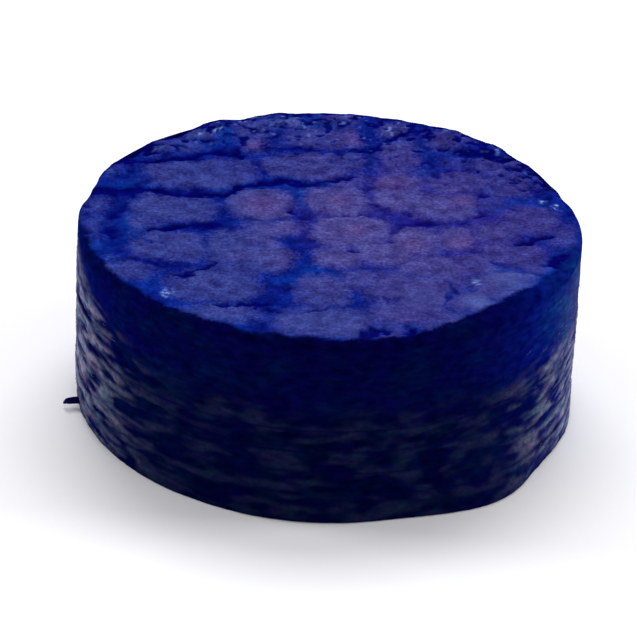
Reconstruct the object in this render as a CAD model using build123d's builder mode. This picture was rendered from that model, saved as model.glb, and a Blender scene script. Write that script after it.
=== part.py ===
"""A laminated leather cue tip: eight punched leather plies held together by seven thin adhesive films.

The frame is in millimetres. The origin is the centre of the base, the face that is glued to the ferrule,
and +Z points through the stack to the playing face, which is the grain side of the top ply.
"""

import os

from build123d import *

# Driving dimensions
TIP_DIAMETER = 14.0
TIP_HEIGHT = 5.5
FILM_THICKNESS = 0.05  # one adhesive line between two pressed plies
FILM_SETBACK = 0.08  # the adhesive stops short of the punched wall
UPPER_PLIES = (0.55, 0.60, 0.65, 0.75, 0.60, 0.60, 0.65)  # from the grain ply down; the base ply is the rest
RIM_RADIUS = 0.30  # the burnished edge round the playing face
SEAM_CHAMFER = 0.04  # where the press rounds each ply's edge at a seam
BASE_CHAMFER = 0.06  # the sanded edge round the base

OUT = "parts"


def ply_thicknesses():
    """Every ply's thickness, from the grain ply down to the base ply."""
    films = FILM_THICKNESS * len(UPPER_PLIES)
    return (*UPPER_PLIES, TIP_HEIGHT - sum(UPPER_PLIES) - films)


def disc(bottom, thickness, radius):
    """A plain punched disc standing on the plane z = bottom."""
    with BuildPart() as blank:
        with BuildSketch(Plane.XY.offset(bottom)):
            Circle(radius)
        extrude(amount=thickness)
    return blank


def grain_ply(bottom, thickness):
    """The top ply: its upper edge is rolled over and burnished, its lower edge meets a seam."""
    with BuildPart() as ply:
        add(disc(bottom, thickness, TIP_DIAMETER / 2).part)
        rims = ply.edges().filter_by(GeomType.CIRCLE).sort_by(Axis.Z)
        fillet(rims[-1], radius=RIM_RADIUS)
        chamfer(rims[0], length=SEAM_CHAMFER)
    return ply


def inner_ply(bottom, thickness):
    """A ply with a seam on both sides."""
    with BuildPart() as ply:
        add(disc(bottom, thickness, TIP_DIAMETER / 2).part)
        chamfer(ply.edges().filter_by(GeomType.CIRCLE), length=SEAM_CHAMFER)
    return ply


def base_ply(bottom, thickness):
    """The bottom ply: a seam above, and the sanded glue face below."""
    with BuildPart() as ply:
        add(disc(bottom, thickness, TIP_DIAMETER / 2).part)
        rims = ply.edges().filter_by(GeomType.CIRCLE).sort_by(Axis.Z)
        chamfer(rims[-1], length=SEAM_CHAMFER)
        chamfer(rims[0], length=BASE_CHAMFER)
    return ply


def glue_film(bottom):
    """One adhesive line, set back from the punched wall."""
    return disc(bottom, FILM_THICKNESS, TIP_DIAMETER / 2 - FILM_SETBACK)


def write(piece, name):
    piece.part.label = name
    export_step(piece.part, os.path.join(OUT, name + ".step"))
    print(f"{name}: {piece.part.volume:.3f} mm3")


def main():
    os.makedirs(OUT, exist_ok=True)
    thicknesses = ply_thicknesses()
    last = len(thicknesses)
    top = TIP_HEIGHT
    for number, thickness in enumerate(thicknesses, start=1):
        bottom = top - thickness
        if number == 1:
            write(grain_ply(bottom, thickness), "grain_ply")
        elif number < last:
            write(inner_ply(bottom, thickness), f"leather_ply_{number}")
        else:
            write(base_ply(0.0, top), "base_ply")
        if number < last:
            write(glue_film(bottom - FILM_THICKNESS), f"glue_film_{number}")
        top = bottom - FILM_THICKNESS


main()
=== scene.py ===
"""The looks of a laminated leather cue tip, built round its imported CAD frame.

Lengths in this script are millimetres until a mesh, lamp or camera is made, and then MM turns them into
metres. Angles round the tip are measured from +X, so the front, which faces the camera, is at -90 degrees.
Numbers that shape a zone are millimetres, radians or shares of 1. Every noise call is given its own seed.
"""

import math

import bpy
import numpy as np
from mathutils import Euler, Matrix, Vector

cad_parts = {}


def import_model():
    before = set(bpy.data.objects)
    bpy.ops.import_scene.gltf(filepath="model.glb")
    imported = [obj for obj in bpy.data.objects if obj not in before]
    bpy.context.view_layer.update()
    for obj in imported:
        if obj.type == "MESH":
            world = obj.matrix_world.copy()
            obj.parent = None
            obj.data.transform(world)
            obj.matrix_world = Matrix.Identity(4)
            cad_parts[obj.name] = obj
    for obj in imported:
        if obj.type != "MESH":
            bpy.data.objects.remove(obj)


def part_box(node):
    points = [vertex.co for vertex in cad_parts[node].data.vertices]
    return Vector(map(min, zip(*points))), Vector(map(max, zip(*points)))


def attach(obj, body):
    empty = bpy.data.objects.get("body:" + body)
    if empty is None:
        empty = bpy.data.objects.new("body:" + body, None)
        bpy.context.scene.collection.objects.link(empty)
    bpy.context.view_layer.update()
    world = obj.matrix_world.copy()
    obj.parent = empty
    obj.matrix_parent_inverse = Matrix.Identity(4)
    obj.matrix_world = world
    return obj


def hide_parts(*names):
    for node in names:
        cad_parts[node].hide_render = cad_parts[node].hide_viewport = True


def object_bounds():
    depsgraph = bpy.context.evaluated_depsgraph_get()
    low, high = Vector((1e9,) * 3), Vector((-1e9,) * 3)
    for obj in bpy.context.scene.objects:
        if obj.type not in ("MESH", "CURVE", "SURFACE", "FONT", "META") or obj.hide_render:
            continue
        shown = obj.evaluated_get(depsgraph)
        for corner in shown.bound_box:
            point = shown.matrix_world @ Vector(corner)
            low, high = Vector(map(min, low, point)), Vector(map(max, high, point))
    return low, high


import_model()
cad_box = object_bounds()

MM = 0.001

# What the frame gives
PLIES = ["grain_ply"] + [f"leather_ply_{n}" for n in range(2, 8)] + ["base_ply"]
FILMS = [f"glue_film_{n}" for n in range(1, 8)]
HEIGHT = cad_box[1].z / MM
RADIUS = cad_box[1].x / MM

# Mesh density
SIDE = 256  # cells along one side of the square grid that is mapped to a disc
SEGMENTS = 4 * SIDE  # vertices round the wall
EDGE_ROWS = 6  # rows round a ply's rounded edge
RIM_ROWS = 12  # rows round the rim of the playing face, which is rounder
GRAIN_WALL_ROWS = 5  # rows on the straight part of the grain ply's wall
WALL_ROWS = 15  # and on that of every other ply

# Wall
RIM_RADIUS = 0.26
SEAM_RADIUS = 0.038
BASE_RADIUS = 0.07
HIDDEN_RADIUS = 0.9 * RADIUS  # where each skin goes flat inside the stack
NIP = 0.023  # where a seam is pressed shut, each ply reaches this far over the film between them
WALL_SHRINK = 0.01  # the mean wall lies this far inside the nominal radius, and its fibres reach out to it
SHADED_FRONT = -88.0  # the direction, in degrees, of the middle of the wall's front, where its colour is painted darkest as shade

# Loose fibres
FUZZ_COUNT = 700
FUZZ_SEED = 7
FUZZ_HEIGHTS = (0.15, 4.9)
FUZZ_LENGTHS = (0.10, 0.30)
FUZZ_LEANS = (0.02, 0.06)  # how far a fibre bows out of the wall
FUZZ_RISES = (-0.06, 0.06)
FUZZ_THICKNESS = 0.0075

FLOOR_HALF = 0.6  # metres


# ---- noise and shaping ----

def smoothstep(low, high, x):
    """0 at low and before it, 1 at high and after it. With high below low, it falls instead."""
    t = np.clip((x - low) / (high - low), 0.0, 1.0)
    return t * t * (3.0 - 2.0 * t)


def bell(x, width):
    """A bell round 0, of height 1."""
    return np.exp(-(x / width) ** 2)


def turn_from(theta, degrees):
    """Signed angle in radians from a direction given in degrees."""
    return (theta - math.radians(degrees) + math.pi) % (2 * math.pi) - math.pi


def lobe(theta, degrees, width):
    """A bell round a direction given in degrees. Its width is in radians."""
    return bell(turn_from(theta, degrees), width)


def perlin(x, y, seed, wrap=128):
    """Smooth noise, about -1 to 1, one bump per unit. It repeats in x after wrap units."""
    angle = np.random.default_rng(seed).uniform(0.0, 2.0 * math.pi, (wrap, 128))
    column = np.floor(x).astype(int)
    row = np.floor(y).astype(int)
    u = x - column
    v = y - row

    def corner(i, j):
        a = angle[(column + i) % wrap, (row + j) % 128]
        return np.cos(a) * (u - i) + np.sin(a) * (v - j)

    fade_u = u ** 3 * (u * (6.0 * u - 15.0) + 10.0)
    fade_v = v ** 3 * (v * (6.0 * v - 15.0) + 10.0)
    low = corner(0, 0) + fade_u * (corner(1, 0) - corner(0, 0))
    high = corner(0, 1) + fade_u * (corner(1, 1) - corner(0, 1))
    return 1.5 * (low + fade_v * (high - low))


def fractal(x, y, seed, octaves=3, wrap=128):
    """Smooth noise with finer, weaker noise on top."""
    total = 0.0
    for octave in range(octaves):
        factor = 2 ** octave
        total = total + perlin(x * factor, y * factor, seed + octave, wrap * factor) / factor
    return total


def ring_noise(theta, z, arc, rise, seed, octaves=1):
    """Noise on the wall with bumps about arc long round the tip and rise high."""
    cells = max(3, round(2.0 * math.pi * RADIUS / arc))
    return fractal(theta / (2.0 * math.pi) * cells, z / rise, seed, octaves, cells)


# ---- the grain: creases between pebbles ----

# Each crease is (half width, strength, points), read off the hide, +Y away from the camera.
CREASES = [
    (0.3, 1.0, [(-6.9, 1.25), (-6.2, 1.5), (-5.5, 1.6)]),
    (0.22, 1.0, [(-5.5, 1.6), (-5.1, 1.65), (-4.5, 1.45), (-3.6, 1.5), (-2.8, 1.65)]),
    (0.19, 0.98, [(-2.8, 1.65), (-2.4, 2.1), (-1.8, 2.35), (-1.2, 2.5), (-0.8, 2.25)]),
    (0.14, 0.9, [(-0.8, 2.25), (-0.1, 2.6), (0.3, 2.85), (0.6, 2.95)]),
    (0.23, 0.98, [(-6.2, 3.3), (-5.0, 3.55), (-4.2, 3.7), (-3.6, 4.1), (-3.0, 4.1), (-2.7, 3.9)]),
    (0.14, 0.78, [(-2.3, 4.3), (-1.7, 4.5), (-1.1, 4.6), (-0.5, 4.5), (0.4, 4.6), (1.1, 4.7)]),
    (0.15, 0.9, [(1.1, 4.7), (1.5, 5.2), (2.0, 5.7), (2.7, 5.95)]),
    (0.14, 0.5, [(-2.7, 3.9), (-2.0, 3.4), (-1.9, 2.9), (-2.1, 2.3)]),
    (0.15, 0.92, [(-5.1, -0.95), (-4.4, -0.7), (-4.0, -0.55), (-3.7, -0.48)]),
    (0.22, 1.0, [(-3.7, -0.48), (-3.4, -0.42), (-3.0, -0.33)]),
    (0.12, 0.62, [(-3.0, -0.33), (-2.6, -0.12), (-2.0, 0.02), (-1.2, 0.1), (-0.4, 0.3)]),
    (0.11, 0.6, [(-0.4, 0.3), (0.0, 0.4), (0.6, 0.5), (1.5, 0.62)]),
    (0.3, 0.72, [(-5.4, 2.5), (-5.6, 1.5), (-5.8, 0.6), (-6.0, -0.2), (-6.05, -1.0), (-6.0, -1.8)]),
    (0.24, 0.62, [(-6.0, -1.8), (-5.7, -2.3), (-5.2, -2.6), (-4.8, -2.8), (-4.2, -3.1), (-3.9, -3.5)]),
    (0.1, 0.92, [(-4.1, -3.5), (-3.6, -3.3), (-3.3, -3.0), (-3.1, -2.7)]),
    (0.13, 0.36, [(-3.15, -2.7), (-3.2, -2.2), (-3.4, -1.5), (-3.5, -0.6)]),
    (0.1, 0.4, [(-3.1, -2.8), (-2.6, -2.75), (-2.1, -2.7), (-1.4, -2.9)]),
    (0.15, 0.5, [(-3.0, 1.5), (-3.05, 0.6), (-3.0, -0.2)]),
    (0.15, 0.5, [(-0.8, 2.25), (-1.0, 1.5), (-1.1, 0.7), (-0.9, 0.0), (-0.65, -0.6), (-0.5, -1.2)]),
    (0.1, 0.55, [(-1.5, -1.15), (-1.1, -1.4), (-0.8, -1.7)]),
    (0.2, 0.42, [(-0.6, -0.9), (-0.65, -1.8), (-0.6, -2.5), (-0.75, -3.1), (-1.1, -3.7)]),
    (0.19, 0.5, [(-1.1, -3.7), (-1.3, -4.2), (-1.5, -4.9), (-1.7, -5.4), (-1.75, -6.0), (-1.7, -6.9)]),
    (0.13, 0.95, [(-2.7, -5.15), (-2.3, -5.05), (-1.9, -5.1), (-1.5, -5.0)]),
    (0.1, 0.65, [(-1.5, -5.3), (-0.9, -5.4), (-0.4, -5.35), (0.3, -5.0), (0.9, -4.9), (1.5, -4.95)]),
    (0.11, 0.6, [(-0.6, -3.0), (-0.2, -2.9), (0.4, -2.75), (1.0, -2.65), (1.6, -2.55), (2.0, -2.2)]),
    (0.1, 0.32, [(2.0, -2.2), (2.5, -1.95), (3.0, -1.85), (4.1, -1.6)]),
    (0.16, 0.5, [(1.2, 4.7), (1.1, 3.9), (1.2, 3.2), (1.1, 2.5), (1.3, 1.2)]),
    (0.2, 0.5, [(1.3, 1.2), (1.7, 0.6), (1.85, -0.1), (1.6, -0.9)]),
    (0.16, 0.74, [(1.85, 0.1), (2.5, 0.15), (3.2, 0.2), (3.7, 0.35), (4.0, 0.65), (4.25, 1.0)]),
    (0.12, 0.55, [(4.25, 1.0), (4.1, 1.7), (4.2, 2.15), (4.0, 2.7)]),
    (0.12, 0.42, [(4.2, 2.15), (4.8, 1.5), (5.2, 1.2), (5.9, 1.3)]),
    (0.24, 1.0, [(3.7, 4.75), (4.1, 4.62), (4.6, 4.5)]),
    (0.12, 0.7, [(4.6, 4.5), (5.1, 4.2)]),
    (0.15, 0.6, [(2.3, 5.5), (2.8, 4.6), (2.85, 3.9), (3.0, 3.2), (3.1, 2.8)]),
    (0.15, 0.95, [(5.25, -0.9), (5.6, -0.7), (5.75, -0.45), (6.1, -0.35)]),
    (0.14, 0.55, [(5.6, 3.2), (5.8, 2.4), (6.3, 1.7), (6.8, 1.2)]),
    (0.26, 0.98, [(6.9, -1.2), (6.4, -1.6), (6.1, -2.0)]),
    (0.11, 0.55, [(4.6, -2.1), (5.0, -2.2), (5.4, -2.4), (5.8, -2.7)]),
    (0.14, 0.8, [(3.3, -3.4), (3.3, -4.1)]),
    (0.13, 0.45, [(3.3, -4.1), (3.15, -5.0)]),
    (0.12, 0.25, [(4.2, 0.3), (4.1, -1.0), (4.2, -1.8)]),
    (0.14, 0.42, [(1.5, -2.6), (1.3, -3.6), (1.3, -4.9)]),
    (0.15, 0.75, [(-2.7, 4.9), (-2.75, 4.4), (-2.7, 3.9)]),
    (0.14, 0.65, [(-1.7, 6.2), (-1.8, 5.2), (-2.1, 4.4)]),
    (0.13, 0.8, [(-2.2, 6.6), (-1.6, 6.55), (-1.0, 6.6)]),
    (0.14, 0.75, [(-5.9, -1.1), (-5.3, -1.35), (-4.8, -1.5)]),
    (0.19, 1.0, [(1.15, -6.9), (1.2, -6.3), (1.45, -6.15)]),
    (0.22, 1.0, [(2.3, -6.7), (2.3, -6.15)]),
]

# Pebbles: (x, y, half width, half height, brightness)
PEBBLES = [
    (-4.6, 4.45, 0.8, 0.5, 0.65), (-3.8, 5.3, 0.4, 0.35, 0.9), (-2.35, 5.6, 0.45, 0.7, 0.7),
    (-2.2, 4.65, 0.35, 0.35, 0.9), (-1.45, 6.15, 0.5, 0.25, 0.9), (-0.6, 5.35, 0.75, 0.6, 0.75),
    (0.2, 5.35, 0.5, 0.75, 0.75), (0.15, 6.55, 0.45, 0.3, 0.8), (1.8, 5.9, 0.4, 0.35, 0.9),
    (1.9, 4.3, 0.52, 1.05, 0.85), (1.85, 2.1, 0.68, 1.15, 0.9), (3.2, 5.35, 0.55, 0.5, 0.75),
    (4.8, 4.0, 0.75, 0.55, 0.75), (3.7, 4.1, 0.6, 0.4, 0.45), (5.7, 3.2, 0.35, 0.55, 0.5),
    (-6.3, 2.75, 0.35, 0.55, 0.45), (-3.75, 2.7, 1.55, 0.85, 0.8), (-2.7, 3.4, 0.55, 0.35, 0.75),
    (-0.75, 3.45, 1.15, 0.75, 0.85), (0.45, 3.95, 0.6, 0.45, 0.75), (0.5, 2.65, 0.5, 0.45, 0.6),
    (3.6, 2.8, 0.85, 0.6, 0.85), (5.05, 2.75, 0.7, 0.65, 0.75), (-6.55, 0.5, 0.25, 0.55, 0.7),
    (-4.4, 0.5, 1.17, 0.8, 0.85), (-5.1, -0.5, 0.35, 0.5, 0.75), (-1.95, 0.95, 0.85, 0.85, 1.15),
    (0.2, 1.35, 0.8, 0.75, 1.1), (3.2, 1.3, 0.95, 0.75, 0.88), (5.6, 0.6, 0.75, 0.8, 0.75),
    (-6.55, -0.9, 0.25, 0.7, 0.7), (-1.5, -0.45, 0.7, 0.45, 0.9), (0.6, -0.45, 0.98, 0.9, 1.1),
    (2.35, -0.95, 0.6, 0.75, 1.0), (3.5, -0.65, 0.55, 0.6, 0.95), (4.6, -0.25, 0.5, 0.65, 0.9),
    (5.1, -1.5, 0.95, 0.65, 0.75), (6.5, -0.25, 0.3, 0.6, 0.75), (-4.35, -1.85, 1.0, 0.8, 0.85),
    (-2.4, -1.75, 0.95, 1.0, 0.9), (-1.6, -2.4, 0.55, 0.65, 0.95), (0.3, -2.05, 0.6, 0.55, 0.9),
    (1.6, -1.75, 0.75, 0.65, 0.95), (2.9, -2.45, 1.0, 0.6, 0.9), (4.0, -2.1, 0.6, 0.6, 0.8),
    (-5.55, -3.35, 0.75, 0.5, 0.75), (-3.1, -4.05, 1.15, 0.85, 0.85), (-2.5, -3.2, 0.7, 0.4, 0.75),
    (-0.1, -4.15, 0.65, 0.9, 0.8), (1.65, -3.7, 0.62, 0.75, 0.9), (2.6, -4.1, 0.62, 0.9, 1.05),
    (4.9, -3.4, 0.85, 0.75, 1.0), (3.9, -4.35, 0.45, 0.5, 1.0), (2.0, -5.2, 0.85, 0.55, 0.9),
    (-2.8, -5.6, 1.05, 0.4, 0.85), (0.0, -5.95, 1.35, 0.7, 0.95), (1.75, -6.35, 0.32, 0.45, 0.85),
    (3.0, -5.5, 0.7, 0.5, 0.85), (5.8, -2.5, 0.4, 0.5, 0.8), (0.9, -3.4, 0.45, 0.6, 0.7),
    (4.4, 1.7, 0.35, 0.5, 0.6), (3.3, -3.3, 0.5, 0.35, 0.85),
]

# Single dark pits: (x, y, radius, strength)
PITS = [
    (0.7, -1.65, 0.15, 0.9), (-1.1, 0.62, 0.23, 1.0), (1.3, 1.2, 0.2, 0.8), (4.2, 2.15, 0.22, 0.9),
    (-3.4, -0.42, 0.22, 0.7), (-1.0, -4.1, 0.15, 0.7), (1.9, 2.4, 0.16, 0.4), (-4.85, -2.75, 0.13, 0.6),
    (-6.0, -1.85, 0.3, 0.6), (-0.25, -3.1, 0.15, 0.6), (-1.9, 3.05, 0.2, 0.7), (4.1, 4.6, 0.24, 0.6),
    (5.4, -0.8, 0.2, 0.6), (-3.2, 1.5, 0.18, 0.5), (-4.3, 1.45, 0.2, 0.5), (2.9, 0.2, 0.2, 0.35),
    (-5.95, -1.1, 0.32, 0.75), (-5.75, 0.3, 0.2, 0.5), (-6.75, -1.2, 0.24, 0.8), (-6.75, 0.4, 0.16, 0.6),
    (-5.7, 1.0, 0.2, 0.5), (2.2, 0.7, 0.16, 0.6), (3.3, 3.6, 0.18, 0.7), (5.9, 2.1, 0.16, 0.6),
]

# Paler spots, small crisp ones and wide faint ones: (x, y, radius, strength)
PALE_SPOTS = [
    (-4.32, -4.52, 0.15, 1.6), (4.0, -4.3, 0.36, 0.27), (4.9, -3.0, 0.6, 0.16), (5.2, -3.5, 0.4, 0.16),
    (4.0, -3.25, 0.13, 0.9), (3.5, -5.2, 0.4, 0.05), (2.6, -4.2, 0.6, 0.08), (0.0, -5.9, 0.9, 0.05),
    (-2.7, -5.8, 0.35, 0.05), (-3.8, 5.3, 0.1, 0.9),
    (-3.4, 5.45, 0.08, 0.9), (-1.75, 6.15, 0.2, 0.36), (-1.2, 6.2, 0.22, 0.34), (0.3, 6.75, 0.1, 0.9),
    (6.35, 1.6, 0.09, 1.2), (6.0, 1.9, 0.09, 1.0), (1.7, 6.0, 0.1, 0.7), (4.7, 4.8, 0.1, 0.8),
    (-0.9, 6.0, 0.1, 0.6), (-6.2, 2.6, 0.15, 0.3), (-5.9, -2.6, 0.16, 0.2), (2.6, 3.6, 0.07, 0.4),
    (-5.0, 4.3, 0.08, 0.5), (3.3, 5.9, 0.08, 0.7), (5.6, 3.6, 0.07, 0.6), (-2.6, 6.2, 0.08, 0.6),
]

# Where the frayed back of the rim stands up or is worn down: (degrees, width in radians, mm)
RIM_STEPS = [
    (27.0, 0.13, -0.14), (41.0, 0.06, -0.07), (47.0, 0.06, 0.05), (55.0, 0.25, 0.04),
    (60.0, 0.06, 0.05), (103.0, 0.05, 0.04), (112.5, 0.05, -0.07), (119.5, 0.06, 0.06),
    (131.0, 0.09, -0.14), (145.0, 0.07, -0.19),
]

# Pebbles worn to a redder brown under the dye: (x, y, radius)
ROSY = [
    (-1.95, 1.0, 0.58), (0.25, 1.45, 0.36), (3.7, 1.7, 0.32), (-2.2, 4.75, 0.32), (0.65, 5.35, 0.36),
    (3.7, -1.0, 0.45), (1.75, 2.6, 0.45), (0.75, -0.35, 0.35), (2.3, -1.1, 0.4),
]


def along(points, step=0.06):
    """Points spaced along a smooth curve through a crease's points."""
    p = np.array([points[0], *points, points[-1]], float)
    out = []
    for a, b, c, d in zip(p[:-3], p[1:-2], p[2:-1], p[3:]):
        count = max(2, int(np.linalg.norm(c - b) / step))
        t = np.linspace(0.0, 1.0, count, endpoint=False)[:, None]
        square = (2 * a - 5 * b + 4 * c - d) * t ** 2
        cube = (3 * b - a - 3 * c + d) * t ** 3
        out.append(0.5 * (2 * b + (c - a) * t + square + cube))
    return np.concatenate([*out, p[-1:]])


def nearest(x, y, points):
    """Distance from every (x, y) to the nearest of the points."""
    best = np.full(x.shape, 1e9)
    for px, py in points:
        best = np.minimum(best, (x - px) ** 2 + (y - py) ** 2)
    return np.sqrt(best)


def back_rim(x, y):
    """1 along the frayed back of the rim, 0 elsewhere."""
    return smoothstep(5.5, 6.5, np.hypot(x, y)) * smoothstep(0.5, 4.0, y)


def rim_dye(x, y):
    """Where dye soaks the front rim, from 6.72 mm out and sooner at the front right, and its pale fringe."""
    theta = np.arctan2(y, x)
    wander = 0.10 * perlin(x / 0.6, y / 0.6, 63) + 0.05 * perlin(x / 0.2, y / 0.2, 64)
    start = 6.72 - 0.46 * lobe(theta, -43.0, 0.34) + wander
    front = smoothstep(0.8, -2.2, y)
    reach = np.hypot(x, y) - start
    bleed = 0.30 + 0.55 * lobe(theta, -20.0, 0.40)
    return front * smoothstep(-0.16, 0.22, reach), front * bleed * smoothstep(-0.75, 0.0, reach)


def thinned(pebble, fringe):
    """Pebbles give way to pooled dye just inside the dyed rim."""
    return pebble * (1.0 - 0.75 * smoothstep(0.55, 0.95, fringe))


def warped(x, y):
    """The same places, shifted a little by noise, so that creases wander and pebbles aren't regular."""
    wx = x + 0.17 * perlin(x / 0.70, y / 0.60, 11) + 0.13 * perlin(x / 0.26, y / 0.24, 12)
    wx = wx + 0.05 * perlin(x / 0.11, y / 0.11, 18)
    wy = y + 0.13 * perlin(x / 0.70, y / 0.60, 13) + 0.12 * perlin(x / 0.26, y / 0.24, 14)
    wy = wy + 0.05 * perlin(x / 0.11, y / 0.11, 19)
    return wx, wy


def crease_core(x, y, wx, wy):
    """How far every place is down in a crease, a pit, a hairline crack or a dark spot near the back. In
    colour, the creases, pits and cracks are darkened partly by pooled dye and partly as painted shade; the
    dark spots and outline at the back are painted shade.
    """
    patchy = np.clip(0.62 + 0.95 * perlin(x / 0.62, y / 0.50, 15), 0.05, 1.1)
    core = np.zeros(x.shape)
    for half_width, strength, points in CREASES:
        reach = nearest(wx, wy, along(points))
        width = half_width * (1.0 + 0.35 * perlin(x / 0.7, y / 0.7, 16))
        kept = patchy + (1.0 - patchy) * smoothstep(0.70, 1.0, strength)
        core = np.maximum(core, strength * kept * bell(reach, width))
    for px, py, size, strength in PITS:
        core = np.maximum(core, strength * bell(np.hypot(wx - px, wy - py), size))
    # Painted shade: dark spots and a dark outline along the frayed back rim.
    spots = smoothstep(0.10, 0.50, perlin(x / 0.42, y / 0.30, 61) + 0.4 * perlin(x / 0.16, y / 0.13, 65))
    outline = 0.9 * smoothstep(6.72, 6.95, np.hypot(x, y))
    core = np.maximum(core, back_rim(x, y) * np.maximum(spots, outline))
    cracked = smoothstep(0.05, 0.75, perlin(x / 1.1, y / 0.8, 66) + 0.35)
    hairline = bell(perlin(wx / 0.95, wy / 0.50, 67), 0.10)
    core = np.maximum(core, 0.32 * cracked * hairline)
    # Painted shade: dark specks, shallow in the relief, over the rough back of the top.
    far = y + 0.55 * np.maximum(x - 2.0, 0.0)
    behind = smoothstep(2.4, 5.2, far) * smoothstep(0.05, 0.55, fractal(x / 0.40, y / 0.36, 68, 2) - 0.10)
    return np.clip(np.maximum(core, 0.72 * behind), 0.0, 1.0)


def pebble_cover(wx, wy):
    """How much every place is on top of a pebble."""
    pebble = np.zeros(wx.shape)
    for px, py, half_width, half_height, bright in PEBBLES:
        across = np.abs(wx - px) / (half_width + 0.10)
        up = np.abs(wy - py) / (half_height + 0.10)
        reach = (across ** 3 + up ** 3) ** (1 / 3)
        edge = 0.27 / min(half_width, half_height)
        pebble = np.maximum(pebble, bright * smoothstep(1.0 + edge, 1.0 - edge, reach))
    return pebble


def pale_spots_and_glints(x, y, wx, wy):
    """Paler spots, small crisp ones and wide faint ones, and painted glints near the back."""
    spot_and_glint = np.zeros(x.shape)
    speck = smoothstep(-0.35, 0.35, perlin(x / 0.13, y / 0.11, 17))
    for px, py, size, strength in PALE_SPOTS:
        crisp = speck if size < 0.25 else 0.8 + 0.2 * speck
        spot_and_glint = np.maximum(spot_and_glint, strength * crisp * bell(np.hypot(wx - px, wy - py), size))
    # Painted glints: pale specks near the back.
    back_glints = smoothstep(3.9, 6.0, y) * smoothstep(0.46, 0.78, perlin(x / 0.20, y / 0.20, 72))
    return np.clip(np.maximum(spot_and_glint, 0.36 * back_glints), 0.0, 1.0)


def grain_fields(x, y):
    """The grain's masks: the dark core of each crease, both dye and painted shade, the cover of the pebbles,
    and pale spots with painted glints.
    """
    wx, wy = warped(x, y)
    core = crease_core(x, y, wx, wy)
    return core, pebble_cover(wx, wy) * (1.0 - 0.85 * core), pale_spots_and_glints(x, y, wx, wy)


# ---- the wall: fibres, flecks and layers ----

def body_radius(theta, z):
    """The wall's mean radius: nearly a cylinder, spread and tucked along its base, worn at its back rim."""
    radius = RADIUS - WALL_SHRINK + 0.020 * ring_noise(theta, z, 6.0, 9.0, 21)
    radius = radius + 0.05 * lobe(theta, -5.0, 0.5)
    spread = 0.46 * lobe(theta, -49.0, 0.26) * smoothstep(1.5, 0.05, z)
    slack = 0.05 * lobe(theta, 0.0, 0.45) * smoothstep(3.6, 1.6, z)
    spread = spread + 0.03 * lobe(theta, -12.0, 0.12) * smoothstep(1.2, 0.2, z)
    spread = spread + 0.15 * lobe(theta, -94.0, 0.40) * smoothstep(0.7, 0.0, z)
    left_tuck = 0.08 * lobe(theta, -155.0, 0.40) * smoothstep(0.50, 0.0, z)
    right_tuck = 0.065 * lobe(theta, -34.0, 0.21) * smoothstep(0.90, 0.0, z)
    worn_back = 1.9 * lobe(theta, 167.0, 0.11)
    worn_back = worn_back + 1.3 * lobe(theta, 20.0, 0.17)
    bites = worn_back * (0.09 + 0.05 * ring_noise(theta, z, 0.8, 3.0, 22)) * smoothstep(4.6, 5.3, z)
    return radius + spread - slack - left_tuck - right_tuck - bites


def side_share(theta):
    """0 on the front of the wall, 1 on its sides and back, where the wall's colour is painted paler as light
    against painted shade on the front.
    """
    turn = turn_from(theta, SHADED_FRONT)
    return smoothstep(0.62, 1.42, np.maximum(turn, -0.06 - turn))


def fibre_bundles(theta, z, ply, side):
    """Noise drawn out along the layers, finer and more streaky on the sides, and the streaks alone."""
    bundles = ring_noise(theta, z, 0.85, 0.23, 40 + ply)
    bundles = bundles + 0.38 * ring_noise(theta, z, 0.36, 0.15, 60 + ply)
    clumps = ring_noise(theta, z, 1.05, 0.42, 33, 2)
    patches = (0.50 - 0.18 * side) * ring_noise(theta, z, 1.8, 0.55, 32, 2)
    streak = ring_noise(theta, z, 0.40, 0.09, 80 + ply, 2)
    clumped = bundles * (0.35 + 0.65 * side) + clumps * 0.65 * (1.0 - side) + patches + 0.24 * side * streak
    return clumped, streak


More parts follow.
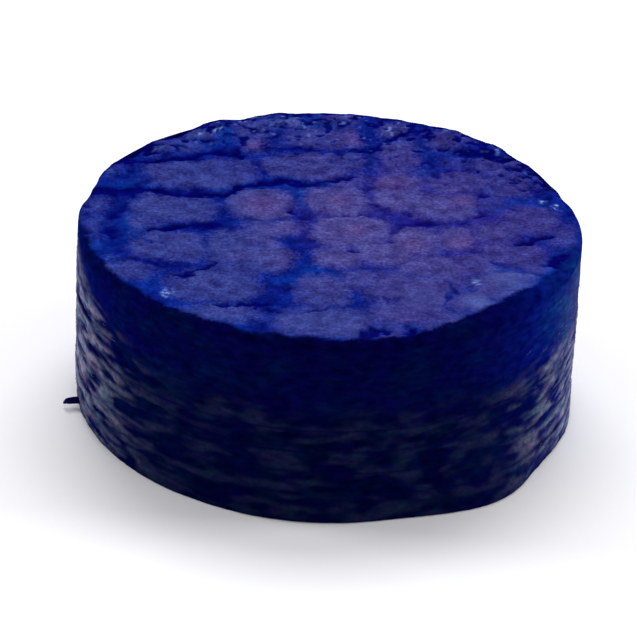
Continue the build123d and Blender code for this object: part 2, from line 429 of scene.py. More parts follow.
def wall_fields(theta, z, ply):
    """The punched wall of one ply.

    relief is in mm. The rest are shares: fleck, pale fibre; pale, how pale that fibre is painted, paler on
    the sides as painted light; side_light, how far the dye is painted lighter and greener as light on the
    sides and right; open, how far the fibre has opened below the rim; painted_sheen, a painted sheen on the
    sides and back.
    """
    side = side_share(theta)
    left = lobe(theta, 180.0, 0.60)
    right = lobe(theta, 0.0, 0.75)
    turn = turn_from(theta, SHADED_FRONT)
    flank = smoothstep(1.20, 1.50, np.abs(turn))
    depth = HEIGHT - z + 0.35 * ring_noise(theta, z, 3.0, 1.6, 31)
    start = 1.7 - 0.68 * side - 0.87 * left + 0.50 * right
    open_fibre = smoothstep(start, start + 1.0, depth)
    clumped, streak = fibre_bundles(theta, z, ply, side)
    clumped = clumped + 0.08 * left + 0.15 * flank
    fleck = smoothstep(-0.20 - 0.42 * side, 0.55 + 0.18 * side, clumped) * open_fibre
    fleck = fleck * (1.0 - 0.4 * left * smoothstep(4.3, 5.3, depth))
    fleck = fleck + 0.16 * (1.0 - fleck) * right * smoothstep(3.4, 5.0, depth)
    # Painted light and shade: the dye is painted lighter and greener on the sides, most on the right, and
    # navy on the front.
    side_light = 0.25 * side + 0.75 * smoothstep(0.30, 1.05, turn) * right
    # Painted sheen: a pale haze on the sides and back, where the wall turns side-on, and high on the right.
    sheen_zone = np.maximum(flank, smoothstep(1.00, 1.45, turn) * smoothstep(3.2, 1.8, depth))
    relief = 0.030 * fleck * (0.4 + 0.6 * side) + (0.005 + 0.006 * open_fibre) * streak
    return {
        "relief": relief + 0.018 * ring_noise(theta, z, 2.2, 0.7, 30),
        "fleck": fleck,
        # Painted light: flecks are painted paler on the sides and back than on the shaded front.
        "pale": side * smoothstep(0.2, 1.5, depth),
        "side_light": side_light * smoothstep(-0.50, 0.70, depth) * (1.0 - 0.60 * smoothstep(1.2, 3.0, depth)),
        "open": open_fibre,
        "painted_sheen": sheen_zone * smoothstep(0.1, 0.9, depth),
    }


def seam_wave(theta, seam):
    """How far a seam wanders up or down, in mm."""
    slow = 0.035 * ring_noise(theta, 0.0, 5.0, 1.0, 100 + seam)
    return slow + 0.012 * ring_noise(theta, 0.5, 1.1, 1.0, 120 + seam)


def seam_gape(theta, seam):
    """How open a seam is, from 0, pressed shut, to 1."""
    stretches = smoothstep(0.0, 0.8, ring_noise(theta, 0.5, 1.7, 1.0, 140 + seam, 2))
    return stretches * (0.25 + 0.75 * side_share(theta)) * (0.3 if seam < 2 else 1.0)


# ---- meshes ----

ANGLES = np.arange(SEGMENTS) * 2.0 * math.pi / SEGMENTS


def disc_grid():
    """A square grid mapped to the unit disc: each point's radius and angle."""
    line = np.linspace(-1.0, 1.0, SIDE + 1)
    a, b = np.meshgrid(line, line, indexing="ij")
    wide = np.abs(a) >= np.abs(b)
    big = np.where(wide, a, b)
    ratio = np.where(wide, b, a) / np.where(big == 0.0, 1.0, big)
    angle = np.where(wide, math.pi / 4 * ratio, math.pi / 2 - math.pi / 4 * ratio)
    return np.abs(big), np.arctan2(big * np.sin(angle), big * np.cos(angle))


DISC_RADIUS, DISC_ANGLE = disc_grid()


def arc_rows(lower, upper, middle):
    """Section rows of a ply, from its lower edge to its upper one, with each edge rounded.

    Each row is (inset, rise, share, out, up): rise in mm above the lower edge plus a share of the straight
    wall, and the outward normal's two parts.
    """
    rows = []
    for a in np.linspace(0.0, math.pi / 2, EDGE_ROWS):
        rows.append((lower * (1 - math.sin(a)), lower * (1 - math.cos(a)), 0.0, math.sin(a), -math.cos(a)))
    for share in np.linspace(0.0, 1.0, middle + 2)[1:-1]:
        rows.append((0.0, lower, share, 1.0, 0.0))
    for a in np.linspace(0.0, math.pi / 2, RIM_ROWS if upper == RIM_RADIUS else EDGE_ROWS):
        rows.append((upper * (1 - math.cos(a)), lower + upper * math.sin(a), 1.0, math.cos(a), math.sin(a)))
    return np.array(rows).T[:, :, None]


def add_object(name, data):
    """A new object in the scene."""
    thing = bpy.data.objects.new(name, data)
    bpy.context.scene.collection.objects.link(thing)
    return thing


def polar(radius, theta, z):
    """Points from cylindrical coordinates."""
    return np.stack(np.broadcast_arrays(radius * np.cos(theta), radius * np.sin(theta), z), -1)


def cap_faces(ring, first_new, upward, grid):
    """Faces that close a ring, by the disc grid or a fan, and how many vertices they add."""
    if not grid:
        a = ring + np.arange(SEGMENTS)
        b = ring + (np.arange(SEGMENTS) + 1) % SEGMENTS
        fan = np.stack([a, b, np.full(SEGMENTS, first_new)], -1)
        return (fan if upward else fan[:, ::-1]), 1
    index = np.empty((SIDE + 1, SIDE + 1), int)
    edge = ring + np.round(DISC_ANGLE / (2 * math.pi) * SEGMENTS).astype(int) % SEGMENTS
    index[:] = edge
    inner = (SIDE - 1) ** 2
    index[1:-1, 1:-1] = first_new + np.arange(inner).reshape(SIDE - 1, SIDE - 1)
    quads = np.stack([index[:-1, :-1], index[1:, :-1], index[1:, 1:], index[:-1, 1:]], -1).reshape(-1, 4)
    return (quads if upward else quads[:, ::-1]), inner


def closed_skin(name, rows, row_masks, bottom, top, materials, rim_row=None):
    """One closed mesh: rows of rings, closed below and above. A cap is (points, masks), and a cap of one
    point is a fan. Faces above rim_row take the second material."""
    count = len(rows)
    points = [rows.reshape(-1, 3)]
    masks = {key: [value.reshape(-1)] for key, value in row_masks.items()}
    here = np.arange(SEGMENTS)
    after = (here + 1) % SEGMENTS
    faces = []
    kinds = []
    for row in range(count - 1):
        low, high = row * SEGMENTS, (row + 1) * SEGMENTS
        faces += np.stack([low + here, low + after, high + after, high + here], -1).tolist()
        kinds += [1 if rim_row is not None and row >= rim_row else 0] * SEGMENTS
    used = count * SEGMENTS
    for (cap, cap_masks), ring, upward in ((bottom, 0, False), (top, (count - 1) * SEGMENTS, True)):
        grid = cap.ndim == 3
        new_faces, new_points = cap_faces(ring, used, upward, grid)
        faces += new_faces.tolist()
        kinds += [len(materials) - 1 if grid else 0] * len(new_faces)
        points.append(cap[1:-1, 1:-1].reshape(-1, 3) if grid else cap.reshape(1, 3))
        for key, values in masks.items():
            given = cap_masks.get(key)
            if given is None:
                given = np.zeros((SIDE + 1, SIDE + 1) if grid else 1)
            values.append(given[1:-1, 1:-1].reshape(-1) if grid else given)
        used += new_points
    mesh = bpy.data.meshes.new(name)
    mesh.from_pydata((np.concatenate(points) * MM).tolist(), [], faces)
    for key, values in masks.items():
        layer = mesh.attributes.new(key, "FLOAT", "POINT")
        layer.data.foreach_set("value", np.concatenate(values).astype(np.float32))
    mesh.polygons.foreach_set("material_index", np.array(kinds, np.int32))
    mesh.polygons.foreach_set("use_smooth", np.ones(len(faces), bool))
    for material in materials:
        mesh.materials.append(material)
    mesh.update()
    return add_object(name, mesh)


def place(piece, node):
    """Puts a piece on the tip's one body, in place of a CAD node."""
    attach(piece, "root")
    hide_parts(node)


# ---- materials ----

class Shader:
    """A material with one Principled shader, and short ways to add the nodes used here."""

    def __init__(self, name, **sockets):
        self.material = bpy.data.materials.new(name)
        self.material.use_nodes = True
        self.tree = self.material.node_tree
        self.principled = self.tree.nodes["Principled BSDF"]
        for socket, value in sockets.items():
            self.principled.inputs[socket.replace("_", " ")].default_value = value
        self.position = self.tree.nodes.new("ShaderNodeTexCoord").outputs["Object"]

    def put(self, source, socket):
        self.tree.links.new(source, self.principled.inputs[socket])

    def mask(self, name):
        node = self.tree.nodes.new("ShaderNodeAttribute")
        node.attribute_name = name
        return node.outputs["Fac"]

    def noise(self, bump_size, flatten=1.0, detail=2.0, offset=0.0):
        """Noise whose bumps are bump_size mm wide and flatten times lower than that."""
        place_node = self.tree.nodes.new("ShaderNodeMapping")
        scale = 1.0 / MM / bump_size
        place_node.inputs["Scale"].default_value = (scale, scale, scale * flatten)
        place_node.inputs["Location"].default_value = (offset, offset, offset)
        self.tree.links.new(self.position, place_node.inputs["Vector"])
        node = self.tree.nodes.new("ShaderNodeTexNoise")
        node.inputs["Scale"].default_value = 1.0
        node.inputs["Detail"].default_value = detail
        self.tree.links.new(place_node.outputs["Vector"], node.inputs["Vector"])
        return node.outputs["Fac"]

    def ramp(self, factor, stops):
        node = self.tree.nodes.new("ShaderNodeValToRGB")
        while len(node.color_ramp.elements) < len(stops):
            node.color_ramp.elements.new(0.5)
        for element, (position, colour) in zip(node.color_ramp.elements, stops):
            element.position = position
            element.color = (*colour, 1.0)
        self.tree.links.new(factor, node.inputs["Fac"])
        return node.outputs["Color"]

    def threshold(self, factor, low, high):
        """0 up to low, 1 from high."""
        return self.ramp(factor, [(low, (0.0, 0.0, 0.0)), (high, (1.0, 1.0, 1.0))])

    def tint(self, factor, reach, dark, light):
        """A colour to multiply by: dark, then white in the middle of the noise, then light."""
        return self.ramp(factor, [(0.5 - reach, dark), (0.5, (1.0, 1.0, 1.0)), (0.5 + reach, light)])

    def mix(self, factor, first, second, blend="MIX"):
        node = self.tree.nodes.new("ShaderNodeMix")
        node.data_type = "RGBA"
        node.blend_type = blend
        for value, socket in ((factor, node.inputs[0]), (first, node.inputs[6]), (second, node.inputs[7])):
            if isinstance(value, bpy.types.NodeSocket):
                self.tree.links.new(value, socket)
            else:
                socket.default_value = value if isinstance(value, float) else (*value, 1.0)
        return node.outputs[2]

    def math(self, operation, first, second, clamp=False):
        node = self.tree.nodes.new("ShaderNodeMath")
        node.operation = operation
        node.use_clamp = clamp
        for value, socket in ((first, node.inputs[0]), (second, node.inputs[1])):
            if isinstance(value, bpy.types.NodeSocket):
                self.tree.links.new(value, socket)
            else:
                socket.default_value = value
        return node.outputs[0]

    def span(self, factor, low, high):
        """Takes 0..1 to low..high."""
        node = self.tree.nodes.new("ShaderNodeMapRange")
        node.inputs["To Min"].default_value = low
        node.inputs["To Max"].default_value = high
        self.tree.links.new(factor, node.inputs["Value"])
        return node.outputs["Result"]

    def bump(self, height, depth, under=None):
        """A bump of depth mm, on top of another if one is given."""
        node = self.tree.nodes.new("ShaderNodeBump")
        node.inputs["Distance"].default_value = depth * MM
        self.tree.links.new(height, node.inputs["Height"])
        if under is not None:
            self.tree.links.new(under, node.inputs["Normal"])
        return node.outputs["Normal"]

    def dense_dye(self):
        """Dyed leather, painted navy on the front as shade and a lighter, greener blue on the sides as
        painted light.
        """
        cloud = self.noise(1.0, flatten=1.6, detail=2.0, offset=2.0)
        strands = self.noise(0.34, flatten=2.0, detail=2.0)
        # The navy is painted shade for the front; the lighter green-blue is painted light for the sides.
        deep = self.ramp(cloud, [(0.36, (0.0011, 0.0007, 0.042)), (0.50, (0.0005, 0.0012, 0.036)),
                                 (0.64, (0.0003, 0.0030, 0.036))])
        side_lit_dye = self.ramp(cloud, [(0.36, (0.0045, 0.0130, 0.132)), (0.50, (0.0030, 0.0220, 0.147)),
                                  (0.64, (0.0040, 0.0370, 0.158))])
        shade = self.tint(strands, 0.18, (0.50, 0.50, 0.70), (1.9, 1.7, 1.35))
        side_light = self.mask("side_light")
        some = self.math("MULTIPLY", side_light, 2.5, clamp=True)
        much = self.math("MULTIPLY", self.math("SUBTRACT", side_light, 0.35), 1.5, clamp=True)
        half = self.mix(some, deep, (0.0010, 0.0040, 0.100))
        return self.mix(1.0, self.mix(much, half, side_lit_dye), shade, "MULTIPLY")


def grain_leather():
    """The playing face: violet-blue worn pebbles with a painted grey sheen, blue dye pooled round them,
    crease floors darkened by dye and painted shade.
    """
    s = Shader("grain_leather", Specular_IOR_Level=0.0)
    cloud = s.noise(1.3, detail=3.0)
    patch = s.noise(0.42, detail=3.0, offset=3.0)
    grit = s.noise(0.10, detail=3.0, offset=7.0)
    speck = s.noise(0.075, detail=2.0, offset=11.0)
    # Pebble tops: their own violet-blue, lifted towards grey by a painted sheen.
    worn = s.mix(s.mask("warm"), (0.0262, 0.0342, 0.176), (0.0330, 0.0292, 0.160))
    worn = s.mix(s.mask("tone"), worn, (0.0500, 0.0450, 0.190))
    worn = s.mix(s.mask("fringe"), worn, (0.0240, 0.0360, 0.212))
    worn = s.mix(s.math("MULTIPLY", s.mask("rosy"), 0.45), worn, (0.0850, 0.0430, 0.155))
    mottle = s.tint(patch, 0.16, (0.66, 0.62, 0.74), (1.36, 1.42, 1.26))
    shade = s.tint(grit, 0.18, (0.62, 0.58, 0.74), (1.38, 1.42, 1.26))
    shade = s.mix(1.0, mottle, shade, "MULTIPLY")
    outer = s.ramp(cloud, [(0.35, (0.0012, 0.0060, 0.126)), (0.52, (0.0018, 0.0105, 0.165)),
                           (0.68, (0.0022, 0.0220, 0.200))])
    inner = s.ramp(cloud, [(0.35, (0.0120, 0.0085, 0.145)), (0.52, (0.0110, 0.0120, 0.170)),
                           (0.68, (0.0085, 0.0185, 0.188))])
    pooled = s.mix(s.mask("violet"), outer, inner)
    pooled = s.mix(s.mask("fringe"), pooled, (0.0016, 0.0180, 0.200))
    cover = s.math("ADD", s.mask("pebble"), s.span(speck, -0.60, 0.60))
    colour = s.mix(s.threshold(cover, 0.15, 0.85), pooled, worn)
    colour = s.mix(1.0, colour, shade, "MULTIPLY")
    # Crease floors, pits and back specks: darkened partly by pooled dye and partly as painted shade.
    deep = s.math("ADD", s.mask("core"), s.span(grit, -0.25, 0.25))
    crevice = s.threshold(deep, 0.20, 0.74)
    floor_dye_and_shade = s.mix(s.mask("violet"), (0.0008, 0.0010, 0.080), (0.0034, 0.0017, 0.088))
    colour = s.mix(crevice, colour, s.mix(1.0, floor_dye_and_shade, shade, "MULTIPLY"))
    # Paler spots and the painted glints near the back take a lighter blue.
    spot_colour = s.mix(s.mask("spot_and_glint"), (0.10, 0.20, 0.60), (0.27, 0.35, 0.62))
    colour = s.mix(s.mask("spot_and_glint"), colour, spot_colour)
    # The dark band at the front rim takes the wall's dye colours, with their painted shade and painted light.
    soaked = s.mix(1.0, s.dense_dye(), (0.78, 0.78, 0.90), "MULTIPLY")
    stain = s.math("ADD", s.mask("dye"), s.span(speck, -0.35, 0.35))
    colour = s.mix(s.threshold(stain, 0.20, 0.80), colour, soaked)
    s.put(colour, "Base Color")
    s.put(s.span(grit, 0.55, 0.85), "Roughness")
    pores = s.bump(speck, 0.007)
    s.put(s.bump(patch, 0.012, pores), "Normal")
    return s.material


def edge_leather():
    """The punched wall: navy, painted darker on the front as shade and paler on the sides as light, with
    paler fibre bundles along the layers, and seams darkened by their glue line and painted shade.
    """
    s = Shader("edge_leather", Specular_IOR_Level=0.0)
    strands = s.noise(0.32, flatten=2.0, detail=2.0)
    fine = s.noise(0.14, flatten=1.3, detail=2.0, offset=5.0)
    hue = s.noise(0.50, flatten=1.8, detail=2.0, offset=9.0)
    dye = s.dense_dye()
    base = s.mix(s.mask("open"), dye, s.mix(1.0, dye, (0.40, 1.10, 0.35), "MULTIPLY"))
    # Lit and shaded copies of the fleck colour: dim is painted shade for the front, pale is painted light for
    # the sides.
    dim = s.ramp(hue, [(0.36, (0.0092, 0.0088, 0.044)), (0.50, (0.0078, 0.0106, 0.039)),
                       (0.64, (0.0056, 0.0125, 0.038))])
    pale = s.ramp(hue, [(0.36, (0.250, 0.215, 0.330)), (0.50, (0.200, 0.220, 0.312)),
                        (0.64, (0.130, 0.195, 0.280))])
    fleck = s.mix(s.mask("pale"), dim, pale)
    lit = s.tint(fine, 0.18, (0.80, 0.81, 0.85), (1.19, 1.18, 1.14))
    fleck = s.mix(1.0, fleck, lit, "MULTIPLY")
    amount = s.math("MULTIPLY", s.mask("fleck"), s.span(strands, 0.0, 1.7), clamp=True)
    amount = s.math("MULTIPLY", amount, s.span(fine, 0.78, 1.17), clamp=True)
    colour = s.mix(amount, base, fleck)
    # Painted sheen: a pale grey-lavender haze over the sides and back.
    sheen_amount = s.math("MULTIPLY", s.mask("painted_sheen"), s.span(fine, 0.02, 0.36))
    colour = s.mix(sheen_amount, colour, (0.150, 0.147, 0.235))
    # Seams darkened by their glue line and by painted shade.
    colour = s.mix(s.mask("seam"), colour, (0.0008, 0.0018, 0.040))
    s.put(colour, "Base Color")
    s.put(s.span(fine, 0.60, 0.90), "Roughness")
    threads = s.bump(strands, 0.018)
    s.put(s.bump(fine, 0.008, threads), "Normal")
    return s.material


def flesh_leather():
    """The sanded underside: short raised nap, a little lighter than the wall."""
    s = Shader("flesh_leather", Specular_IOR_Level=0.0)
    nap = s.noise(0.12, detail=4.0)
    cloud = s.noise(1.8, detail=3.0, offset=4.0)
    colour = s.ramp(nap, [(0.3, (0.004, 0.010, 0.070)), (0.55, (0.012, 0.026, 0.130)),
                          (0.75, (0.05, 0.07, 0.20))])
    colour = s.mix(s.span(cloud, 0.0, 0.8), colour, (0.010, 0.018, 0.10))
    s.put(colour, "Base Color")
    s.put(s.span(nap, 0.65, 0.92), "Roughness")
    s.put(s.bump(nap, 0.035), "Normal")
    return s.material


def cured_adhesive():
    """The glue line: dark, dye-stained and a little glossier than the leather round it."""
    s = Shader("cured_adhesive", Specular_IOR_Level=0.05)
    film = s.noise(0.35, flatten=3.0, detail=3.0)
    s.put(s.ramp(film, [(0.3, (0.0004, 0.0008, 0.009)), (0.7, (0.0012, 0.0030, 0.034))]), "Base Color")
    s.put(s.span(film, 0.28, 0.55), "Roughness")
    s.put(s.bump(film, 0.015), "Normal")
    return s.material


GRAIN = grain_leather()
EDGE = edge_leather()
FLESH = flesh_leather()
GLUE = cured_adhesive()


# ---- the plies and films ----

def grain_height(x, y):
    """The grain's masks, and its height: -0.1 mm in a crease, 0 on a pebble, up to 0.2 at the frayed back."""
    core, pebble, spot_and_glint = grain_fields(x, y)
    theta = np.arctan2(y, x)
    back = back_rim(x, y)
    lift = back * (0.095 + 0.02 * perlin(x / 0.40, y / 0.25, 54))
    for degrees, width, step in RIM_STEPS:
        lift = lift + back * step * lobe(theta, degrees, width)
    plump = 0.032 * (np.minimum(pebble, 0.8) / 0.8) ** 0.7 - 0.032
    flat_back = 1.0 - 0.65 * smoothstep(3.2, 5.4, y)
    wrinkle = 0.008 * fractal(x / 0.33, y / 0.30, 51, 2)
    sway = 0.022 * perlin(x / 2.6, y / 2.2, 52)
    height = plump - 0.060 * core * flat_back + wrinkle + sway + lift
    tone = smoothstep(4.8, 1.0, np.hypot(x - 0.9, y + 0.3)) + 0.30 * perlin(x / 1.1, y / 0.9, 53)
    violet = smoothstep(4.6, 2.0, np.hypot(x - 2.5, y - 0.2)) + 0.20 * perlin(x / 1.1, y / 0.9, 57)
    rosy = np.zeros(x.shape)
    for px, py, size in ROSY:
        rosy = np.maximum(rosy, bell(np.hypot(x - px, y - py), size))
    dye, fringe = rim_dye(x, y)
    return height, {
        "core": core,
        "pebble": thinned(pebble, fringe),
        "spot_and_glint": spot_and_glint,
        "tone": np.clip(tone, 0.0, 1.0),
        "warm": smoothstep(-3.5, 3.0, x + 0.2 * y + 1.2 * perlin(x / 1.3, y / 1.1, 56)),
        "rosy": rosy,
        "dye": dye,
        "fringe": fringe,
        "side_light": wall_fields(theta, np.full(x.shape, HEIGHT), 0)["side_light"],
        "violet": np.clip(violet, 0.0, 1.0),
    }


def limits(ply):
    """The lower and upper edge of a ply round its wall, and how open its two seams are."""
    low, high = (corner.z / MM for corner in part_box(PLIES[ply]))
    lower = np.full(SEGMENTS, low)
    upper = np.full(SEGMENTS, high)
    gapes = [np.ones(SEGMENTS), np.ones(SEGMENTS)]
    if ply < len(FILMS):
        gapes[0] = seam_gape(ANGLES, ply)
        lower = low + seam_wave(ANGLES, ply) - NIP * (1 - gapes[0])
    if ply > 0:
        gapes[1] = seam_gape(ANGLES, ply - 1)
        upper = high + seam_wave(ANGLES, ply - 1) + NIP * (1 - gapes[1])
    return lower, upper, gapes


def hidden_ring(z):
    """A ring inside the stack, on a node's true plane."""
    return polar(HIDDEN_RADIUS, ANGLES, np.full(SEGMENTS, z))


def centre(z):
    """A cap that is one point, with no masks."""
    return np.array([0.0, 0.0, z]), {}


def ring_below(rows, masks, z):
    """Adds a hidden ring under the rows, whose masks carry on from the lowest row."""
    masks = {key: np.concatenate([value[:1], value]) for key, value in masks.items()}
    return np.concatenate([hidden_ring(z)[None], rows]), masks


def ring_above(rows, masks, z):
    """Adds a hidden ring over the rows, whose masks carry on from the highest row."""
    masks = {key: np.concatenate([value, value[-1:]]) for key, value in masks.items()}
    return np.concatenate([rows, hidden_ring(z)[None]]), masks


def disc_points(edge):
    """The disc grid's x and y, when it fills a ring whose radius is edge at each of ANGLES."""
    around = np.append(ANGLES, 2 * math.pi)
    radius = DISC_RADIUS * np.interp(DISC_ANGLE % (2 * math.pi), around, np.append(edge, edge[0]))
    return radius * np.cos(DISC_ANGLE), radius * np.sin(DISC_ANGLE)


def ply_wall(ply):
    """A ply's rounded wall: radius, angle and height of its points, the normal's two parts, and masks."""
    is_top = ply == 0
    is_base = ply == len(PLIES) - 1
    lower, upper, gapes = limits(ply)
    lower_round = BASE_RADIUS if is_base else SEAM_RADIUS
    upper_round = RIM_RADIUS if is_top else SEAM_RADIUS
    straight = upper - lower - lower_round - upper_round
    middle = GRAIN_WALL_ROWS if is_top else WALL_ROWS
    inset, rise, share, out, up = arc_rows(lower_round, upper_round, middle)
    z = lower + rise + share * straight
    if is_top:  # the rim is rolled at the front and nearly square at the back
        square = 0.80 * smoothstep(-0.5, 0.3, np.sin(ANGLES))
        z = z + np.where(share == 1.0, square * (upper - z), 0.0)
        inset = np.where(share == 1.0, inset * (1.0 - square), inset)
    theta = np.broadcast_to(ANGLES, z.shape)
    lower_half = np.arange(len(z))[:, None] < EDGE_ROWS + middle // 2
    below = 1.0 if is_base else 0.06 + 1.1 * gapes[0]
    above = 1.0 if is_top else 0.06 + 1.1 * gapes[1]
    gape = np.where(lower_half, below, above)
    fields = wall_fields(theta, z, ply)
    rounded = np.where(z > HEIGHT - RIM_RADIUS, 1.0, gape * (0.35 + 0.65 * fields["open"]))
    radius = body_radius(theta, z) - inset * rounded + fields["relief"] * np.maximum(out, 0.3)
    to_seam = np.where(lower_half, z - lower, upper - z)
    # A seam's darkening is partly its dark glue line and partly painted shade, darker where the seam gapes.
    stained = np.clip((0.25 + 0.9 * gape) * (0.2 + 0.8 * fields["open"]), 0.0, 1.0)
    seam = stained * bell(to_seam, 0.05 + 0.07 * side_share(theta))
    # Where the dye is not painted lighter as side light.
    out_of_side_light = 1.0 - np.clip(2.0 * fields["side_light"], 0.0, 1.0)
    masks = {
        "fleck": fields["fleck"] * (1.0 - seam),
        "pale": fields["pale"],
        "side_light": fields["side_light"],
        "seam": seam,
        "painted_sheen": fields["painted_sheen"],
        "open": 0.55 * fields["open"] * (1.0 - side_share(theta)) * out_of_side_light,
    }
    return radius, theta, z, out, up, masks


def build_grain_ply():
    """The top ply: its wall carries on over the rim, where it takes the grain's relief and masks."""
    radius, theta, z, out, up, masks = ply_wall(0)
    height, grain_masks = grain_height(radius * np.cos(theta), radius * np.sin(theta))
    facing_up = np.clip(up, 0.0, 1.0) ** 1.5
    on_rim = np.where(up > 0.0, 1.0, 0.0)
    radius = radius + facing_up * height * np.maximum(out, 0.0)
    z = z + facing_up * height * up
    masks["seam"] = np.where(up > 0.0, 0.0, masks["seam"])
    for key, mask in grain_masks.items():
        if key != "side_light":
            masks[key] = mask * on_rim
    soaked = smoothstep(0.97, 0.70, up) * (0.45 + 0.55 * smoothstep(0.10, -0.35, np.sin(ANGLES)))
    masks["dye"] = np.maximum(masks["dye"], soaked)
    x, y = disc_points(radius[-1])
    height, grain_masks = grain_height(x, y)
    top = (np.stack([x, y, HEIGHT + height], -1), grain_masks)
    under = limits(0)[0].mean()
    rows, masks = ring_below(polar(radius, theta, z), masks, under)
    rim_row = 1 + EDGE_ROWS + GRAIN_WALL_ROWS
    return closed_skin(PLIES[0], rows, masks, centre(under), top, [EDGE, GRAIN], rim_row)


def build_lower_ply(ply):
    """A ply under the grain ply. The last one's underside is sanded flesh."""
    low, high = (corner.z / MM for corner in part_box(PLIES[ply]))
    radius, theta, z, _, _, masks = ply_wall(ply)
    rows, masks = ring_above(polar(radius, theta, z), masks, high)
    if ply < len(PLIES) - 1:
        rows, masks = ring_below(rows, masks, low)
        return closed_skin(PLIES[ply], rows, masks, centre(low), centre(high), [EDGE])
    x, y = disc_points(radius[0])
    nap = 0.012 * np.clip(fractal(x / 0.4, y / 0.4, 55, 3), 0, 2) * smoothstep(1.0, 0.9, DISC_RADIUS)
    bottom = (np.stack([x, y, nap], -1), {})
    return closed_skin(PLIES[ply], rows, masks, bottom, centre(high), [EDGE, FLESH])


for ply_number, ply_node in enumerate(PLIES):
    ply_piece = build_grain_ply() if ply_number == 0 else build_lower_ply(ply_number)
    ply_piece.name = ply_node + "_skin"
    place(ply_piece, ply_node)


def build_film(seam):
    """One adhesive film: a thin disc whose edge fills the bottom of its seam."""
    low, high = (corner.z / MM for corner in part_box(FILMS[seam]))
    gape = seam_gape(ANGLES, seam)
    wave = seam_wave(ANGLES, seam)
    pinch = NIP * (1 - gape)
    bead = 0.012 * ring_noise(ANGLES, 0.3, 0.7, 1.0, 160 + seam)
    edge = body_radius(ANGLES, (low + high) / 2 + wave) - SEAM_RADIUS * (0.15 + 1.05 * gape) + bead
    bottom_z = low + wave + pinch
    top_z = high + wave - pinch
    rows = [hidden_ring(low)]
    for share, swell in ((0.0, -0.015), (0.2, 0.0), (0.5, 0.006), (0.8, 0.0), (1.0, -0.015)):
        rows.append(polar(edge + swell, ANGLES, bottom_z + (top_z - bottom_z) * share))
    rows.append(hidden_ring(high))
    return closed_skin(FILMS[seam] + "_skin", np.array(rows), {}, centre(low), centre(high), [GLUE])


for film_number, film_node in enumerate(FILMS):
    place(build_film(film_number), film_node)


# ---- loose fibres ----

def tube(path, radii, sides):
    """Vertices and faces of one closed tapered strand along a path of points."""
    path = np.asarray(path, float)
    ahead = np.gradient(path, axis=0)
    ahead /= np.linalg.norm(ahead, axis=1)[:, None]
    across = np.cross(ahead, [0.02, 0.05, 1.0])
    across /= np.linalg.norm(across, axis=1)[:, None]
    over = np.cross(across, ahead)
    turn = np.arange(sides) * 2 * math.pi / sides
    rings = [p + r * (np.cos(turn)[:, None] * a + np.sin(turn)[:, None] * o)
             for p, r, a, o in zip(path, radii, across, over)]
    points = np.concatenate([*rings, path[:1] - ahead[:1] * radii[0], path[-1:] + ahead[-1:] * radii[-1]])
    start = len(points) - 2
    end = len(points) - 1
    faces = []
    for k in range(len(path) - 1):
        for s in range(sides):
            a = k * sides + s
            b = k * sides + (s + 1) % sides
            faces.append((a, b, b + sides, a + sides))
    last = (len(path) - 1) * sides
    for s in range(sides):
        faces.append((start, (s + 1) % sides, s))
        faces.append((end, last + s, last + (s + 1) % sides))
    return points, faces


def strands_object(name, strands, material, sides):
    """One piece made of many closed strands."""
    points = []
    faces = []
    used = 0
    for path, radii in strands:
        more, polygons = tube(path, radii, sides)
        points.append(more)
        faces += [tuple(v + used for v in polygon) for polygon in polygons]
        used += len(more)
    mesh = bpy.data.meshes.new(name)
    mesh.from_pydata((np.concatenate(points) * MM).tolist(), [], faces)
    mesh.polygons.foreach_set("use_smooth", np.ones(len(faces), bool))
    mesh.materials.append(material)
    piece = add_object(name, mesh)
    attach(piece, "root")


def loose_fibre(name, dark, light):
    """The material of strands that have come away from the wall."""
    s = Shader(name, Specular_IOR_Level=0.0)
    streak = s.noise(0.08, detail=3.0)
    s.put(s.ramp(streak, [(0.3, dark), (0.7, light)]), "Base Color")
    s.put(s.span(streak, 0.5, 0.8), "Roughness")
    s.put(s.bump(streak, 0.01), "Normal")
    return s.material


def on_wall(degrees, z, out=0.0):
    """A point that stands out from the wall's mean radius."""
    theta = np.array([math.radians(degrees)])
    radius = body_radius(theta, np.array([z]))[0] + out
    return np.array([radius * math.cos(theta[0]), radius * math.sin(theta[0]), z])


def burr():
    """The torn scrap that stands out of the base edge on the left: one blunt strand with a hooked tip."""
    strands = []
    t = np.linspace(0.0, 1.0, 12)
    for degrees, z, reach, droop, thickness in (
        (190.6, 0.225, 0.47, 0.01, 0.090),
        (191.3, 0.210, 0.44, -0.02, 0.060),
        (190.0, 0.220, 0.52, 0.09, 0.060),
    ):
        heights = z + 0.03 * np.sin(2.2 * t) - droop * t ** 4
        path = [on_wall(degrees + 0.5 * k, height, reach * k - 0.10) for k, height in zip(t, heights)]
        strands.append((path, thickness * (1.0 - 0.15 * t ** 2)))
    strands_object("edge_burr", strands, FIBRE, 6)


def fuzz():
    """Short pale fibres that stand a little off the punched wall, on its sides and back."""
    chance = np.random.default_rng(FUZZ_SEED)
    strands = []
    t = np.linspace(0.0, 1.0, 6)
    while len(strands) < FUZZ_COUNT:
        degrees = chance.uniform(-180.0, 180.0)
        z = chance.uniform(*FUZZ_HEIGHTS)
        length = chance.uniform(*FUZZ_LENGTHS)
        lean = chance.uniform(*FUZZ_LEANS)
        rise = chance.uniform(*FUZZ_RISES)
        way = chance.choice([-1.0, 1.0])
        likely = side_share(math.radians(degrees)) * (0.4 + 0.6 * (z < 4.0))  # fewer near the burnished rim
        if likely < chance.uniform(0.2, 1.0):
            continue
        turn = way * math.degrees(length / RADIUS)
        path = [on_wall(degrees + turn * k, z + rise * k, lean * math.sin(2.4 * k) - 0.012) for k in t]
        strands.append((path, FUZZ_THICKNESS * (1.0 - 0.6 * t)))
    strands_object("edge_fuzz", strands, FUZZ, 4)


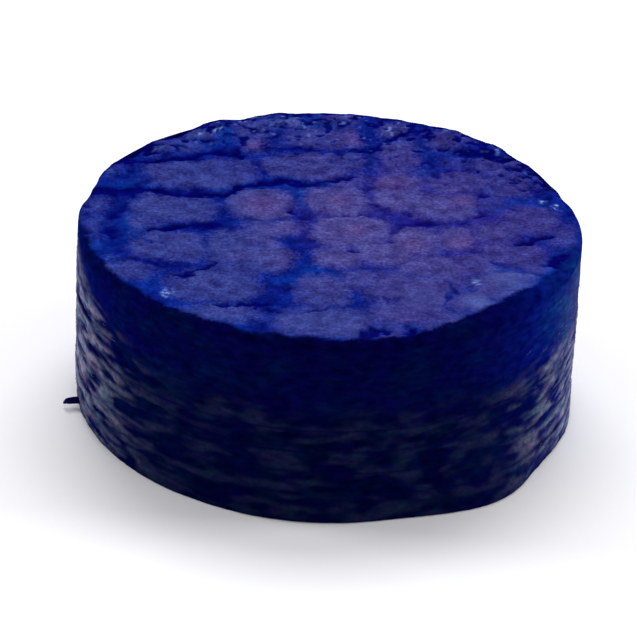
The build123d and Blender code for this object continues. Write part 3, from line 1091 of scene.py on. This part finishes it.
FIBRE = loose_fibre("loose_fibre", (0.0015, 0.0020, 0.028), (0.008, 0.006, 0.070))
FUZZ = loose_fibre("pale_fibre", (0.040, 0.048, 0.130), (0.140, 0.138, 0.260))
burr()
fuzz()


# ---- floor, light and camera ----

def floor():
    """A plain pale sheet under the tip."""
    mesh = bpy.data.meshes.new("floor")
    corners = [(-1, -1), (1, -1), (1, 1), (-1, 1)]
    mesh.from_pydata([(x * FLOOR_HALF, y * FLOOR_HALF, 0.0) for x, y in corners], [], [(0, 1, 2, 3)])
    s = Shader("floor", Specular_IOR_Level=0.1, Roughness=0.9, Base_Color=(0.84, 0.84, 0.85, 1.0))
    mesh.materials.append(s.material)
    add_object("floor", mesh)


def soft_box(name, place_mm, size_mm, watts):
    """A softbox that faces the middle of the tip."""
    lamp = bpy.data.lights.new(name, "AREA")
    lamp.shape = "RECTANGLE"
    lamp.size = size_mm[0] * MM
    lamp.size_y = size_mm[1] * MM
    lamp.energy = watts
    thing = add_object(name, lamp)
    thing.location = Vector(place_mm) * MM
    aim = Vector((0.0, 0.0, HEIGHT / 2 * MM)) - thing.location
    thing.rotation_euler = aim.to_track_quat("-Z", "Y").to_euler()


def world():
    """A pale horizon under a dimmer sky."""
    sky = bpy.data.worlds.new("studio")
    sky.use_nodes = True
    tree = sky.node_tree
    direction = tree.nodes.new("ShaderNodeTexCoord").outputs["Generated"]
    split = tree.nodes.new("ShaderNodeSeparateXYZ")
    ramp = tree.nodes.new("ShaderNodeValToRGB")
    ramp.color_ramp.elements[0].color = (0.96, 0.97, 0.99, 1.0)
    ramp.color_ramp.elements[1].color = (0.50, 0.50, 0.52, 1.0)
    ramp.color_ramp.elements[0].position = 0.10
    ramp.color_ramp.elements[1].position = 0.45
    tree.links.new(direction, split.inputs["Vector"])
    tree.links.new(split.outputs["Z"], ramp.inputs["Fac"])
    tree.links.new(ramp.outputs["Color"], tree.nodes["Background"].inputs["Color"])
    bpy.context.scene.world = sky


def camera():
    """The photograph's viewpoint: 120 mm away, 28 degrees up, rolled a little."""
    distance = 120.0
    elevation = math.radians(28.11)
    roll = math.radians(2.38)
    aim = Vector((-0.20, 0.0, 2.45))
    lens = bpy.data.cameras.new("camera")
    lens.lens = 241.0
    lens.clip_start = 0.001
    thing = add_object("camera", lens)
    back = Vector((0.0, -math.cos(elevation), math.sin(elevation)))
    thing.location = (aim + back * distance) * MM
    thing.rotation_mode = "QUATERNION"
    turn = (-back).to_track_quat("-Z", "Y")
    thing.rotation_quaternion = turn @ Euler((0.0, 0.0, roll)).to_quaternion()
    bpy.context.scene.camera = thing


floor()
world()
soft_box("key", (10.0, 120.0, 225.0), (180.0, 120.0), 0.42)
soft_box("left_strip", (-230.0, 60.0, 90.0), (90.0, 120.0), 0.34)
soft_box("right_strip", (230.0, 30.0, 90.0), (90.0, 120.0), 0.34)
camera()
bpy.context.scene.view_settings.view_transform = "Standard"
